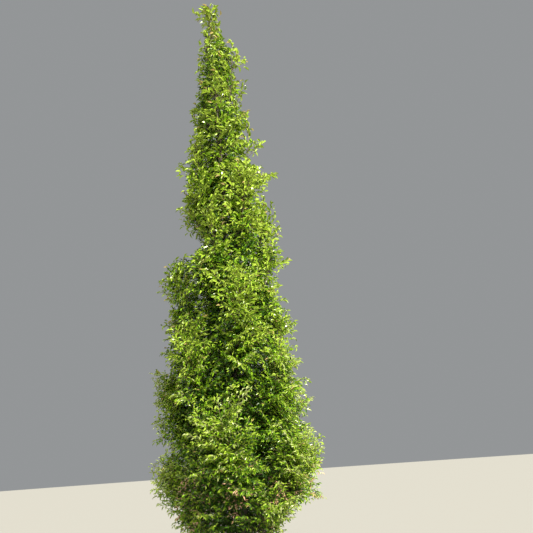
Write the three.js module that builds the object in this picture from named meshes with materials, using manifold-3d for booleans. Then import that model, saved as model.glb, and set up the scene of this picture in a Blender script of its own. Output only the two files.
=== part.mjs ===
// A columnar hornbeam about 6.5 m tall, as a nursery grows it: one straight leader that runs up through the
// crown, steep boughs that leave it in a spiral, and a plume of leafy twigs on the end of each bough. Higher
// up the plumes' stems spring from the trunk itself, and one last plume goes on from the trunk's tip.
//
// Millimetres, +Z up. The origin is the middle of the flat cut under the trunk, at ground level. The tree is
// seen from -Y in the usual view, with +X to the right.

import * as THREE from "three";
import { mergeVertices } from "three/addons/utils/BufferGeometryUtils.js";
import Module from "manifold-3d";

const wasm = await Module();
wasm.setup();

// The whole tree
const TREE_HEIGHT = 6500;
const SEAT_GAP = 0.3; // between two pieces where one carries the other
const WOOD_CLEARANCE = 14; // from a twig, leaf or core to any limb that doesn't carry it
const NEIGHBOUR_CLEARANCE = 7; // from the edge of a plume's space to its neighbour's
const SEED = 4290;
const SEED_STEP = 101; // from one limb's seed to the next

// The trunk
const TRUNK_TOP = 5900;
const TRUNK_RADIUS = 53; // at the ground, without the root flare
const TRUNK_TAPER = 0.92; // under 1 keeps the trunk thicker on its way up
const LEADER_RADIUS = 6; // at the trunk's tip
const FLARE = 27; // how far the root flare stands out at the ground
const FLARE_HEIGHT = 95; // the height in which the flare falls to about a third
const FLARE_RIDGES = 5;
const FLARE_RIDGE_DEPTH = 0.28; // as a share of the flare
const BEND = { side: 16, depth: 10, length: 3400, depthLength: 4860 }; // the trunk's slight wander
const TRUNK_SIDES = 12;
const TRUNK_RINGS = 18;
const TRUNK_RING_CROWDING = 1.7; // over 1 sets the rings closer at the foot

// The crown's outline: [height, how far its furthest tips stand from the trunk]
const CROWN_OUTLINE = [
  [450, 200],
  [560, 400],
  [680, 560],
  [820, 690],
  [1000, 795],
  [1150, 870],
  [1300, 900],
  [1600, 900],
  [1950, 870],
  [2450, 800],
  [3000, 720],
  [3550, 730],
  [3900, 630],
  [4400, 590],
  [4950, 480],
  [5150, 465],
  [5500, 370],
  [5800, 360],
  [5950, 290],
  [6080, 150],
  [6200, 120],
  [6400, 145],
  [TREE_HEIGHT + 5, 125],
];
// Hollows in that outline, between one plume's tip and the next plume above it
const HOLLOWS = [
  { height: 3780, halfHeight: 150, azimuth: 180, halfWidth: 75, depth: 0.5 },
  { height: 4050, halfHeight: 300, azimuth: 180, halfWidth: 70, depth: 0.22 },
  { height: 5100, halfHeight: 400, azimuth: 180, halfWidth: 75, depth: 0.27 },
  { height: 5880, halfHeight: 400, azimuth: 180, halfWidth: 80, depth: 0.6 },
  { height: 800, halfHeight: 140, azimuth: 0, halfWidth: 65, depth: 0.42 },
  { height: 2700, halfHeight: 150, azimuth: 0, halfWidth: 60, depth: 0.13 },
  { height: 3290, halfHeight: 120, azimuth: 0, halfWidth: 60, depth: 0.1 },
  { height: 3300, halfHeight: 300, azimuth: 0, halfWidth: 75, depth: 0.12 },
  { height: 3760, halfHeight: 90, azimuth: 0, halfWidth: 60, depth: 0.16 },
  { height: 4120, halfHeight: 260, azimuth: 0, halfWidth: 60, depth: 0.1 },
  { height: 4310, halfHeight: 80, azimuth: 0, halfWidth: 60, depth: 0.14 },
  { height: 4700, halfHeight: 110, azimuth: 0, halfWidth: 60, depth: 0.26 },
  { height: 4970, halfHeight: 90, azimuth: 0, halfWidth: 50, depth: 0.18 },
  { height: 5300, halfHeight: 130, azimuth: 0, halfWidth: 60, depth: 0.33 },
  { height: 2300, halfHeight: 190, azimuth: 95, halfWidth: 50, depth: 0.25 },
  { height: 4700, halfHeight: 170, azimuth: -100, halfWidth: 60, depth: 0.25 },
];

// The limbs: each is a bough at its foot and the stem of a plume beyond it
const BOUGH_COUNT = 20;
const HIGH_SHOOT_COUNT = 16; // limbs higher up, leafy from the trunk outwards
const LIMB_COUNT = BOUGH_COUNT + HIGH_SHOOT_COUNT;
const SPIRAL_START = 20;
const SPIRAL_STEP = 137.5; // degrees from one limb to the next
const SPIRAL_JITTER = 8; // degrees either way
const LOWEST_LIMB = 440;
const HIGHEST_LIMB = 5600;
const LIMB_CROWDING = 1.4; // over 1 sets the limbs closer at the bottom
const LIMB_RISE = { lowest: 400, gain: 0.75, most: 1120 }; // the gain is for each mm of height
const LIMB_RISE_SHARE = 0.62; // at most, of the height that is left above a limb
const LIMB_RISE_SPREAD = [0.92, 1.06];
const LIMB_REACH_SHARE = 0.74; // of the room that the crown's outline leaves a limb
const LIMB_OUTWARD = 1.7; // over 1 bends a limb outwards first and then upright
const LIMB_WAY = [0.5, 0.625, 0.75, 0.875, 1]; // where that room is taken, as shares of the limb's rise
const LIMB_TWIST = 14; // degrees either way
const ROOT_DEPTH = 0.4; // where a limb starts inside the trunk, as a share of the trunk's radius
const LIMB_RADIUS_SHARE = 0.29; // of the trunk's radius at the limb's foot
const LIMB_RADIUS_LEAST = 5.5;
const BOUGH_SHARE = 0.2; // of a limb's rise
const BOUGH_TAPER = 0.28; // how much thicker it starts than it ends
const COLLAR = 0.55; // how much more it widens right at the trunk
const COLLAR_FALL = 6;
const BOUGH_SIDES = 5;
const BOUGH_RINGS = 3;
const STEM_TIP_RADIUS = 2.6;
const STEM_TAPER = 0.85;
const STEM_SIDES = 4;
const STEM_RINGS = 4;
const AXIS_STEPS = 6; // straight lines that stand for a stem when distances are taken
const BOUGH_AXIS_STEPS = 3;
const TANGENT_STEP = 0.01;
const MERGE_DISTANCE = 0.001;

// The plumes: the space round each stem, and the dense core in it
const PLUME_RADIUS_SHARE = 0.55; // of the crown's outline at the stem's middle
const PLUME_RADIUS_LEAST = 90;
const CORE_START = 0.03; // as shares of the stem's length
const CORE_END = 0.97;
const CORE_SHARE = 0.8; // of the free space round the stem
const CORE_MOST = 420;
const CORE_OVER_STEM = 1.3; // how thick the core is, at least, against the stem in it
const CORE_SIDES = 8;
const CORE_RINGS = 6;
const CORE_UNEVEN = 0.22;
const CORE_WAVES = { round: 3, twist: 11, along: 17 };

// The twigs and leaves. Each leaf blade stands for a flat spray of the small leaves of the real tree.
const TWIG_COUNT = 12;
const TWIG_STATION_STEP = 0.754878; // these two steps spread the twigs evenly up the stem and round it
const TWIG_SIDE_STEP = 0.56984;
const TWIG_STATIONS = [0.04, 0.97]; // the lowest and highest twig, as shares of the stem's length
const TWIG_SECTOR = 140; // degrees to either side of outwards in which a plume's twigs grow
const TWIG_ANGLE = [60, 30]; // degrees from the stem, at its foot and at its tip
const TWIG_JITTER = 12; // degrees either way
const TWIG_REACH = 620; // at most, from the stem to the furthest leaf tip
const TWIG_SPREAD = [0.86, 1]; // how much of its free space a twig takes
const TWIG_RADIUS = 5;
const TWIG_SIDES = 3;
const TWIG_BENT_UP = 0.05;
const LEADER_TIP_REACH = 130;
const LEADER_TWIG_ANGLE = [48, 14];
const LEAF_LEAST = 110;
const LEAF_MOST = 330;
const LEAF_SHARE = 0.72; // of a twig's whole reach
const LEAF_SIZES = [1, 0.82, 0.66]; // tried in turn until the leaf fits
const LEAF_WIDTH = 0.66; // of its length
const LEAF_WIDEST = 0.54; // where it is widest, from its root
const LEAF_THICKNESS = 0.03; // of its length
const LEAF_ARCH = 0.05; // how far its middle stands above the line from root to tip
const LEAF_ROOT_SUNK = 26;
const LEAF_DROOP = 0.16;
const LEAF_FACING = 0.6; // over 0 turns the leaves' faces outwards, and not only upwards
const LEAF_ROLL = 30; // degrees either way
const MARCH = 12; // the step in which free space is felt out

const DEG = Math.PI / 180;
const UP = new THREE.Vector3(0, 0, 1);

const bark = new THREE.MeshStandardMaterial({ color: 0x9a917f, roughness: 0.85, metalness: 0 });
const boughBark = new THREE.MeshStandardMaterial({ color: 0x8a7c68, roughness: 0.85, metalness: 0 });
const foliage = new THREE.MeshStandardMaterial({ color: 0x6f8f2c, roughness: 0.6, metalness: 0 });

// A random number generator, seeded so that each limb always grows the same
function randomFrom(seed) {
  let state = seed >>> 0;
  return () => {
    state = (state + 0x6d2b79f5) >>> 0;
    let mixed = Math.imul(state ^ (state >>> 15), state | 1);
    mixed = (mixed + Math.imul(mixed ^ (mixed >>> 7), mixed | 61)) ^ mixed;
    return ((mixed ^ (mixed >>> 14)) >>> 0) / 4294967296;
  };
}

function between(low, high, share) {
  return low + (high - low) * share;
}

function eitherWay(draw) {
  return draw() * 2 - 1;
}

// The shapes of the trunk and the crown
function flareAt(height) {
  return FLARE * Math.exp(-height / FLARE_HEIGHT);
}

function trunkRadius(height) {
  const taper = Math.pow(Math.max(0, 1 - height / TRUNK_TOP), TRUNK_TAPER);
  return between(LEADER_RADIUS, TRUNK_RADIUS, taper) + flareAt(height);
}

function trunkPoint(height) {
  const side = BEND.side * Math.sin((2 * Math.PI * height) / BEND.length);
  const depth = BEND.depth * (Math.cos((2 * Math.PI * height) / BEND.depthLength) - 1);
  return new THREE.Vector3(side, depth, height);
}

function outwardOf(place) {
  const out = place.clone().sub(trunkPoint(place.z)).setZ(0);
  return out.length() > 1 ? out.normalize() : new THREE.Vector3(1, 0, 0);
}

function outlineAt(height) {
  const last = CROWN_OUTLINE.length - 1;
  if (height <= CROWN_OUTLINE[0][0] || height > CROWN_OUTLINE[last][0]) return 0;
  const above = CROWN_OUTLINE.findIndex((row) => height <= row[0]);
  const [lowHeight, lowReach] = CROWN_OUTLINE[above - 1];
  const [highHeight, highReach] = CROWN_OUTLINE[above];
  return between(lowReach, highReach, (height - lowHeight) / (highHeight - lowHeight));
}

function degreesApart(a, b) {
  return Math.abs(((((a - b) % 360) + 540) % 360) - 180);
}

function crownReach(height, azimuth) {
  let reach = outlineAt(height);
  for (const hollow of HOLLOWS) {
    const up = (height - hollow.height) / hollow.halfHeight;
    const round = degreesApart(azimuth, hollow.azimuth) / hollow.halfWidth;
    reach *= 1 - hollow.depth * Math.exp(-up * up - round * round);
  }
  return reach;
}

// How far a limb has gone outwards, as a share of its reach, at a share of its rise
function outwardShare(share) {
  return 1 - Math.pow(1 - share, LIMB_OUTWARD);
}

// The limbs' places: a spiral up the trunk
function limbAt(index) {
  const draw = randomFrom(SEED + index * SEED_STEP);
  const foot = between(LOWEST_LIMB, HIGHEST_LIMB, Math.pow(index / (LIMB_COUNT - 1), LIMB_CROWDING));
  const azimuth = SPIRAL_START + index * SPIRAL_STEP + SPIRAL_JITTER * eitherWay(draw);
  const twist = LIMB_TWIST * eitherWay(draw);
  const wanted = LIMB_RISE.lowest + LIMB_RISE.gain * (foot - LOWEST_LIMB);
  const highest = Math.min(LIMB_RISE.most, (TREE_HEIGHT - foot) * LIMB_RISE_SHARE);
  const rise = Math.min(wanted, highest) * between(...LIMB_RISE_SPREAD, draw());
  const room = LIMB_WAY.map((way) => {
    return crownReach(foot + rise * way, azimuth + twist * way) / outwardShare(way);
  });
  const reach = LIMB_REACH_SHARE * Math.min(...room);
  const root = (trunkRadius(foot) * ROOT_DEPTH) / reach / LIMB_OUTWARD;
  const start = index < BOUGH_COUNT ? BOUGH_SHARE : root;
  const radius = Math.max(LIMB_RADIUS_LEAST, LIMB_RADIUS_SHARE * trunkRadius(foot));
  return { foot, rise, azimuth, twist, reach, root, start, radius, draw };
}

// The shoot that goes on straight up from the trunk's tip
function leaderShoot() {
  const rise = TREE_HEIGHT - LEADER_TIP_REACH - TRUNK_TOP;
  const draw = randomFrom(SEED + LIMB_COUNT * SEED_STEP);
  return { leader: true, foot: TRUNK_TOP, rise, start: SEAT_GAP / rise, radius: LEADER_RADIUS, draw };
}

function limbPoint(limb, share) {
  const place = trunkPoint(limb.foot + limb.rise * share);
  if (limb.leader) return place;
  const azimuth = (limb.azimuth + limb.twist * share) * DEG;
  const outward = limb.reach * outwardShare(share);
  return place.add(new THREE.Vector3(Math.cos(azimuth) * outward, Math.sin(azimuth) * outward, 0));
}

// A point on a limb's stem, by the share of the stem and not of the limb
function stemPoint(limb, share) {
  return limbPoint(limb, between(limb.start, 1, share));
}

function stemTangent(limb, share) {
  const ahead = stemPoint(limb, Math.min(1, share + TANGENT_STEP));
  return ahead.sub(stemPoint(limb, Math.max(0, share - TANGENT_STEP))).normalize();
}

function stemRadius(limb, share) {
  return between(limb.radius, STEM_TIP_RADIUS, Math.pow(share, STEM_TAPER));
}

// Distances to a line that is given as points
function polyline(pointAt, steps) {
  return Array.from({ length: steps + 1 }, (_, i) => pointAt(i / steps));
}

function distanceTo(points, place) {
  const nearest = new THREE.Vector3();
  let best = Infinity;
  for (let i = 0; i + 1 < points.length; i += 1) {
    new THREE.Line3(points[i], points[i + 1]).closestPointToPoint(place, true, nearest);
    best = Math.min(best, nearest.distanceTo(place));
  }
  return best;
}

// A plume is a limb's stem with the space round it that is nearer to it than to any other stem
function plumeOf(limb, name, boughName) {
  const onBough = (share) => limbPoint(limb, share * limb.start);
  return {
    limb,
    name,
    boughName,
    boughAxis: boughName ? polyline(onBough, BOUGH_AXIS_STEPS) : null,
    axis: polyline((share) => stemPoint(limb, share), AXIS_STEPS),
    length: stemPoint(limb, 0).distanceTo(stemPoint(limb, 1)),
    radius: PLUME_RADIUS_LEAST + PLUME_RADIUS_SHARE * outlineAt(stemPoint(limb, 0.5).z),
    outward: limb.leader ? new THREE.Vector3(1, 0, 0) : outwardOf(stemPoint(limb, 1)),
    phase: limb.draw(),
    waves: [limb.draw() * 2 * Math.PI, limb.draw() * 2 * Math.PI],
  };
}

const plumes = Array.from({ length: LIMB_COUNT }, (_, index) => {
  const number = String(index + 1).padStart(2, "0");
  if (index < BOUGH_COUNT) return plumeOf(limbAt(index), `foliage_${number}`, `bough_${number}`);
  return plumeOf(limbAt(index), `high_foliage_${number}`, null);
});
plumes.push(plumeOf(leaderShoot(), "leader_foliage", null));

function insideCrown(place) {
  const fromTrunk = place.clone().sub(trunkPoint(place.z));
  const outward = Math.hypot(fromTrunk.x, fromTrunk.y);
  const overTrunk = place.z > TRUNK_TOP + WOOD_CLEARANCE;
  const clear = overTrunk || outward > trunkRadius(place.z) + WOOD_CLEARANCE;
  return clear && outward <= crownReach(place.z, Math.atan2(fromTrunk.y, fromTrunk.x) / DEG);
}

function inSpace(plume, place) {
  if (!insideCrown(place)) return false;
  const own = distanceTo(plume.axis, place);
  if (own > plume.radius) return false;
  return plumes.every((other) => {
    const wood = other.limb.radius * (1 + COLLAR) + WOOD_CLEARANCE;
    if (other.boughAxis && distanceTo(other.boughAxis, place) < wood) return false;
    return other === plume || distanceTo(other.axis, place) >= own + 2 * NEIGHBOUR_CLEARANCE;
  });
}

// How far the space runs free from a place in one direction
function freeRun(plume, from, direction, most) {
  for (let run = MARCH; run < most; run += MARCH) {
    if (!inSpace(plume, from.clone().addScaledVector(direction, run))) return run - MARCH;
  }
  return most;
}

// Solids and meshes
function solidOf(geometry) {
  geometry.deleteAttribute("normal");
  geometry.deleteAttribute("uv");
  const merged = mergeVertices(geometry, MERGE_DISTANCE);
  return new wasm.Manifold(
    new wasm.Mesh({
      numProp: 3,
      vertProperties: new Float32Array(merged.attributes.position.array),
      triVerts: new Uint32Array(merged.index.array),
    }),
  );
}

function meshOf(name, solid, material) {
  const { vertProperties, triVerts } = solid.getMesh();
  const geometry = new THREE.BufferGeometry();
  geometry.setAttribute("position", new THREE.BufferAttribute(new Float32Array(vertProperties), 3));
  geometry.setIndex(new THREE.BufferAttribute(new Uint32Array(triVerts), 1));
  geometry.computeVertexNormals();
  const mesh = new THREE.Mesh(geometry, material);
  mesh.name = name;
  return mesh;
}

// The side directions of a line: first towards the hint, then round it
function sidesOf(tangent, hint) {
  const out = hint.clone().addScaledVector(tangent, -hint.dot(tangent)).normalize();
  return [out, tangent.clone().cross(out)];
}

function movePoints(shape, move) {
  const { position } = shape.attributes;
  for (let i = 0; i < position.count; i += 1) {
    const place = move(position.getX(i), position.getY(i), position.getZ(i));
    position.setXYZ(i, place.x, place.y, place.z);
  }
  return solidOf(shape);
}

// An upright unit cylinder or sphere, bent along a line. radiusAt takes the share and the angle round it.
function bent(shape, pointAt, radiusAt, outward) {
  return movePoints(shape, (x, y, z) => {
    const share = Math.min(1, Math.max(0, (y + 1) / 2));
    const low = pointAt(Math.max(0, share - TANGENT_STEP));
    const tangent = pointAt(Math.min(1, share + TANGENT_STEP)).sub(low).normalize();
    const [out, round] = sidesOf(tangent, outward);
    const radius = radiusAt(share, Math.atan2(z, x));
    return pointAt(share).addScaledVector(out, x * radius).addScaledVector(round, -z * radius);
  });
}

// The trunk, or the sleeve that cuts what stands on it, which is wider by the extra
function trunkSolid(extra) {
  const shape = new THREE.CylinderGeometry(1, 1, 2, TRUNK_SIDES, TRUNK_RINGS);
  return movePoints(shape, (x, y, z) => {
    const height = TRUNK_TOP * Math.pow((y + 1) / 2, TRUNK_RING_CROWDING);
    const angle = Math.atan2(x, z);
    const ridge = FLARE_RIDGE_DEPTH * flareAt(height) * Math.cos(FLARE_RIDGES * angle);
    const across = Math.hypot(x, z) * (trunkRadius(height) + ridge + extra);
    return trunkPoint(height).add(new THREE.Vector3(across * Math.sin(angle), -across * Math.cos(angle), 0));
  });
}

function boughSolid(limb, sleeve) {
  const pointAt = (share) => limbPoint(limb, between(limb.root, limb.start, share));
  const radiusAt = (share) => {
    const collar = COLLAR * Math.exp(-COLLAR_FALL * share);
    return limb.radius * (1 + BOUGH_TAPER * (1 - share) + collar);
  };
  const shape = new THREE.CylinderGeometry(1, 1, 2, BOUGH_SIDES, BOUGH_RINGS);
  return bent(shape, pointAt, radiusAt, outwardOf(pointAt(1))).subtract(sleeve);
}

// The stem in a plume: it stands just clear of its bough's tip or the trunk's, or starts in the trunk's side
function stemSolid(plume) {
  const { limb } = plume;
  const gap = plume.boughName ? SEAT_GAP / plume.length : 0;
  const pointAt = (share) => stemPoint(limb, between(gap, 1, share));
  const shape = new THREE.CylinderGeometry(1, 1, 2, STEM_SIDES, STEM_RINGS);
  return bent(shape, pointAt, (share) => stemRadius(limb, share), plume.outward);
}

// A leaf blade: eight faces, pointed at both ends and arched along its middle
function leafSolid(root, direction, normal, length) {
  const across = direction.clone().cross(normal);
  return movePoints(new THREE.OctahedronGeometry(1, 0), (x, y, z) => {
    const along = x > 0.5 ? 1 : x < -0.5 ? 0 : LEAF_WIDEST;
    const raised = (z * LEAF_THICKNESS) / 2 + Math.abs(z) * LEAF_ARCH;
    return root
      .clone()
      .addScaledVector(direction, along * length)
      .addScaledVector(across, (-y * LEAF_WIDTH * length) / 2)
      .addScaledVector(normal, raised * length);
  });
}

function leafFits(plume, root, direction, normal, length) {
  const tip = root.clone().addScaledVector(direction, length);
  const middle = root.clone().addScaledVector(direction, length * LEAF_WIDEST);
  const across = direction.clone().cross(normal).multiplyScalar((length * LEAF_WIDTH) / 2);
  const sides = [middle.clone().add(across), middle.clone().sub(across)];
  const edges = sides.flatMap((side) => [side.clone().lerp(tip, 0.5), side.clone().lerp(root, 0.5)]);
  return [middle, tip, ...sides, ...edges].every((place) => inSpace(plume, place));
}

// A leaf grows from a point on a twig, in a direction, and hangs a little
function growLeaf(plume, place, direction, length, roll) {
  const aim = direction.clone().addScaledVector(UP, -LEAF_DROOP).normalize();
  const root = place.clone().addScaledVector(aim, -LEAF_ROOT_SUNK);
  const [facing] = sidesOf(aim, outwardOf(place).multiplyScalar(LEAF_FACING).add(UP));
  const normal = facing.applyAxisAngle(aim, roll);
  for (const size of LEAF_SIZES) {
    const tried = length * size;
    if (tried < LEAF_LEAST) return null;
    if (leafFits(plume, root, aim, normal, tried)) return leafSolid(root, aim, normal, tried);
  }
  return null;
}

// A twig with the leaf at its end, from a point on the stem
function twigAndLeaf(plume, from, direction, reach, roll) {
  const leafLength = Math.min(LEAF_MOST, reach * LEAF_SHARE);
  const length = reach - leafLength + LEAF_ROOT_SUNK;
  const leaf = growLeaf(plume, from.clone().addScaledVector(direction, length), direction, leafLength, roll);
  if (!leaf) return [];
  const twigLength = length + LEAF_ROOT_SUNK / 2;
  const shape = new THREE.ConeGeometry(TWIG_RADIUS, twigLength, TWIG_SIDES, 1);
  shape.translate(0, twigLength / 2, 0);
  const turn = new THREE.Quaternion().setFromUnitVectors(new THREE.Vector3(0, 1, 0), direction);
  return [solidOf(shape.applyQuaternion(turn).translate(from.x, from.y, from.z)), leaf];
}

// One twig of a plume: two even sequences give its place, and the free space gives its length
function growTwig(plume, index) {
  const { limb } = plume;
  const share = between(...TWIG_STATIONS, (0.5 + index * TWIG_STATION_STEP) % 1);
  const sector = limb.leader ? 180 : TWIG_SECTOR;
  const round = (((plume.phase + index * TWIG_SIDE_STEP) % 1) * 2 - 1) * sector * DEG;
  const angles = limb.leader ? LEADER_TWIG_ANGLE : TWIG_ANGLE;
  const angle = (between(...angles, share) + TWIG_JITTER * eitherWay(limb.draw)) * DEG;
  const roll = LEAF_ROLL * eitherWay(limb.draw) * DEG;
  const spread = between(...TWIG_SPREAD, limb.draw());
  const from = stemPoint(limb, share);
  const tangent = stemTangent(limb, share);
  const [out, about] = sidesOf(tangent, plume.outward);
  const direction = tangent
    .clone()
    .multiplyScalar(Math.cos(angle))
    .addScaledVector(out, Math.cos(round) * Math.sin(angle))
    .addScaledVector(about, Math.sin(round) * Math.sin(angle))
    .addScaledVector(UP, TWIG_BENT_UP)
    .normalize();
  const free = freeRun(plume, from.clone().addScaledVector(direction, MARCH), direction, TWIG_REACH);
  return twigAndLeaf(plume, from, direction, free * spread, roll);
}

// The twig that goes on from the stem's tip
function tipTwig(plume) {
  const { limb } = plume;
  const direction = limb.leader ? UP : stemTangent(limb, 1);
  const tip = stemPoint(limb, 1);
  const free = freeRun(plume, tip, direction, limb.leader ? LEADER_TIP_REACH : TWIG_REACH);
  const from = tip.addScaledVector(direction, -TWIG_RADIUS);
  return twigAndLeaf(plume, from, direction, free + TWIG_RADIUS, 0);
}

// The dense core of a plume. It goes on past the stem's tip, and is cut clear of the trunk.
function coreSolid(plume, clearing) {
  const { limb, waves } = plume;
  const stemEnd = stemPoint(limb, CORE_END);
  const onward = stemTangent(limb, CORE_END);
  const crest = CORE_SHARE * freeRun(plume, stemEnd, onward, plume.radius);
  const stemLength = plume.length * (CORE_END - CORE_START);
  const turnover = stemLength / (stemLength + crest);
  const onStem = (share) => between(CORE_START, CORE_END, Math.min(1, share / turnover));
  const pointAt = (share) => {
    const beyond = Math.max(0, share - turnover) * (stemLength + crest);
    return stemPoint(limb, onStem(share)).addScaledVector(onward, beyond);
  };
  const radiusAt = (share, angle) => {
    const [out, round] = sidesOf(stemTangent(limb, onStem(share)), plume.outward);
    const direction = out.multiplyScalar(Math.cos(angle)).addScaledVector(round, -Math.sin(angle));
    const free = freeRun(plume, pointAt(share), direction, CORE_MOST / CORE_SHARE);
    const wave = Math.sin(CORE_WAVES.round * angle + CORE_WAVES.twist * share + waves[0]);
    const bulge = 1 + CORE_UNEVEN * wave * Math.sin(CORE_WAVES.along * share + waves[1]);
    return Math.max(stemRadius(limb, onStem(share)) * CORE_OVER_STEM, free * CORE_SHARE * bulge);
  };
  const shape = new THREE.SphereGeometry(1, CORE_SIDES, CORE_RINGS);
  return bent(shape, pointAt, radiusAt, plume.outward).subtract(clearing);
}

// A whole mass: stem, core, twigs and leaves in one body, cut to the trunk's side where it springs from it
function plumeSolid(plume, sleeve, clearing) {
  const pieces = [stemSolid(plume), coreSolid(plume, clearing), ...tipTwig(plume)];
  for (let index = 0; index < TWIG_COUNT; index += 1) pieces.push(...growTwig(plume, index));
  const whole = wasm.Manifold.union(pieces);
  const seated = plume.boughName || plume.limb.leader;
  const bodies = (seated ? whole : whole.subtract(sleeve)).decompose();
  return bodies.sort((a, b) => b.volume() - a.volume())[0];
}

const tree = new THREE.Group();
const sleeve = trunkSolid(SEAT_GAP);
const clearing = trunkSolid(WOOD_CLEARANCE);
tree.add(meshOf("trunk", trunkSolid(0), bark));
for (const plume of plumes) {
  if (plume.boughName) tree.add(meshOf(plume.boughName, boughSolid(plume.limb, sleeve), boughBark));
  tree.add(meshOf(plume.name, plumeSolid(plume, sleeve, clearing), foliage));
}

export default tree;
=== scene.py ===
# A columnar hornbeam in full leaf: bark, twigs and leaves that grow by the same rule as the solids.
# Metres, +Z up. The tree is seen from -Y, with +X to the right.

import math
from dataclasses import dataclass

import bmesh
import bpy
import numpy as np
from mathutils import Matrix, Vector, noise


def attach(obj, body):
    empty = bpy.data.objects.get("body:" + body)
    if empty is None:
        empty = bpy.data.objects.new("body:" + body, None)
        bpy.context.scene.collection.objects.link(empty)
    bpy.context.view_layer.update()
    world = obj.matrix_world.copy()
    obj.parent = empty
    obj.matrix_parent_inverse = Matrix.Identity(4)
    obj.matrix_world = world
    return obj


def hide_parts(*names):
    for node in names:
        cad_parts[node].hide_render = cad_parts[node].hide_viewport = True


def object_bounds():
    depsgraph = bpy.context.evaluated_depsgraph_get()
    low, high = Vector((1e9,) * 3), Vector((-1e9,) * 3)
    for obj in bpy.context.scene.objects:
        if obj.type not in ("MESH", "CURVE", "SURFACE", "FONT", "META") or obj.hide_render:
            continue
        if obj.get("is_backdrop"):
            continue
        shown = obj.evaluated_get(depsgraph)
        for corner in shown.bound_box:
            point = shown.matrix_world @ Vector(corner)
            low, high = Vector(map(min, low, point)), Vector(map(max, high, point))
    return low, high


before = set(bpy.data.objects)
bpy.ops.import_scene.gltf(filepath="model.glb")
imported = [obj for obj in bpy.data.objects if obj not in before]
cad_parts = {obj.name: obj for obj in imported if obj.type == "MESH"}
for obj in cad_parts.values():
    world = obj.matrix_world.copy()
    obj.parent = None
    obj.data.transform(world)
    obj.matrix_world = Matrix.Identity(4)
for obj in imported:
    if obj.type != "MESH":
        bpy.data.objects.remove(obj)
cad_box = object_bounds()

UP = np.array([0.0, 0.0, 1.0])
SIDEWAYS = np.array([1.0, 0.0, 0.0])
TINY = 0.001
WORD = 0xFFFFFFFF  # keeps a whole number to 32 bits
WORD_STEP = 0x6D2B79F5

# The rule of the solids, in metres and degrees
TREE_HEIGHT = 6.5
WOOD_CLEARANCE = 0.014
SEED = 4290
SEED_STEP = 101

# The trunk tapers to a leader, has a ridged flare at its foot and bends a little from side to side
TRUNK_TOP = 5.9
TRUNK_RADIUS = 0.053
TRUNK_TAPER = 0.92
LEADER_RADIUS = 0.006
FLARE = 0.027
FLARE_HEIGHT = 0.095
FLARE_RIDGES = 5
FLARE_RIDGE_DEPTH = 0.28
BEND_SIDE = 0.016
BEND_DEPTH = 0.010
BEND_LENGTH = 3.4
BEND_DEPTH_LENGTH = 4.86

# The crown's outline: (height, how far its furthest tips stand from the trunk)
CROWN_OUTLINE = (
    (0.45, 0.200),
    (0.56, 0.400),
    (0.68, 0.560),
    (0.82, 0.690),
    (1.00, 0.795),
    (1.15, 0.870),
    (1.30, 0.900),
    (1.60, 0.900),
    (1.95, 0.870),
    (2.45, 0.800),
    (3.00, 0.720),
    (3.55, 0.730),
    (3.90, 0.630),
    (4.40, 0.590),
    (4.95, 0.480),
    (5.15, 0.465),
    (5.50, 0.370),
    (5.80, 0.360),
    (5.95, 0.290),
    (6.08, 0.150),
    (6.20, 0.120),
    (6.40, 0.145),
    (TREE_HEIGHT + 0.005, 0.125),
)
# Hollows in that outline: (height, half height, azimuth, half width in degrees, depth)
HOLLOWS = (
    (3.78, 0.15, 180, 75, 0.50),
    (4.05, 0.30, 180, 70, 0.22),
    (5.10, 0.40, 180, 75, 0.27),
    (5.88, 0.40, 180, 80, 0.60),
    (0.80, 0.14, 0, 65, 0.42),
    (2.70, 0.15, 0, 60, 0.13),
    (3.29, 0.12, 0, 60, 0.10),
    (3.30, 0.30, 0, 75, 0.12),
    (3.76, 0.09, 0, 60, 0.16),
    (4.12, 0.26, 0, 60, 0.10),
    (4.31, 0.08, 0, 60, 0.14),
    (4.70, 0.11, 0, 60, 0.26),
    (4.97, 0.09, 0, 50, 0.18),
    (5.30, 0.13, 0, 60, 0.33),
    (2.30, 0.19, 95, 50, 0.25),
    (4.70, 0.17, -100, 60, 0.25),
)

# The limbs leave the trunk in a spiral, rise and reach out: the lowest ones are boughs with a stem
BOUGH_COUNT = 20
LIMB_COUNT = 36
SPIRAL_START = 20
SPIRAL_STEP = 137.5
SPIRAL_JITTER = 8
LOWEST_LIMB = 0.44
HIGHEST_LIMB = 5.6
LIMB_CROWDING = 1.4
LIMB_RISE_LOWEST = 0.4
LIMB_RISE_GAIN = 0.75
LIMB_RISE_MOST = 1.12
LIMB_RISE_SHARE = 0.62
LIMB_RISE_SPREAD = (0.92, 1.06)
LIMB_REACH_SHARE = 0.74
LIMB_OUTWARD = 1.7
LIMB_WAY = (0.5, 0.625, 0.75, 0.875, 1)  # the shares of a limb where its room is measured
LIMB_TWIST = 14
ROOT_DEPTH = 0.4
LIMB_RADIUS_SHARE = 0.29
LIMB_RADIUS_LEAST = 0.0055
BOUGH_SHARE = 0.2
BOUGH_TAPER = 0.28
COLLAR = 0.55
COLLAR_FALL = 6

# Each stem carries a plume of twigs that keeps to its own space
STEM_TIP_RADIUS = 0.0026
STEM_TAPER = 0.85
AXIS_STEPS = 6
BOUGH_AXIS_STEPS = 3
TANGENT_STEP = 0.01
PLUME_RADIUS_SHARE = 0.55
PLUME_RADIUS_LEAST = 0.09
TWIG_STATION_START = 0.5
TWIG_STATION_STEP = 0.754878
TWIG_SIDE_STEP = 0.56984
TWIG_STATIONS = (0.04, 0.97)
TWIG_SECTOR = 140
TWIG_ANGLE = (60, 30)
TWIG_JITTER = 12
TWIG_REACH = 0.62
TWIG_BENT_UP = 0.05
TWIG_ROLL = 30
LEADER_TIP_REACH = 0.13
LEADER_TWIG_ANGLE = (48, 14)
LEADER_SECTOR = 180

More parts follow.
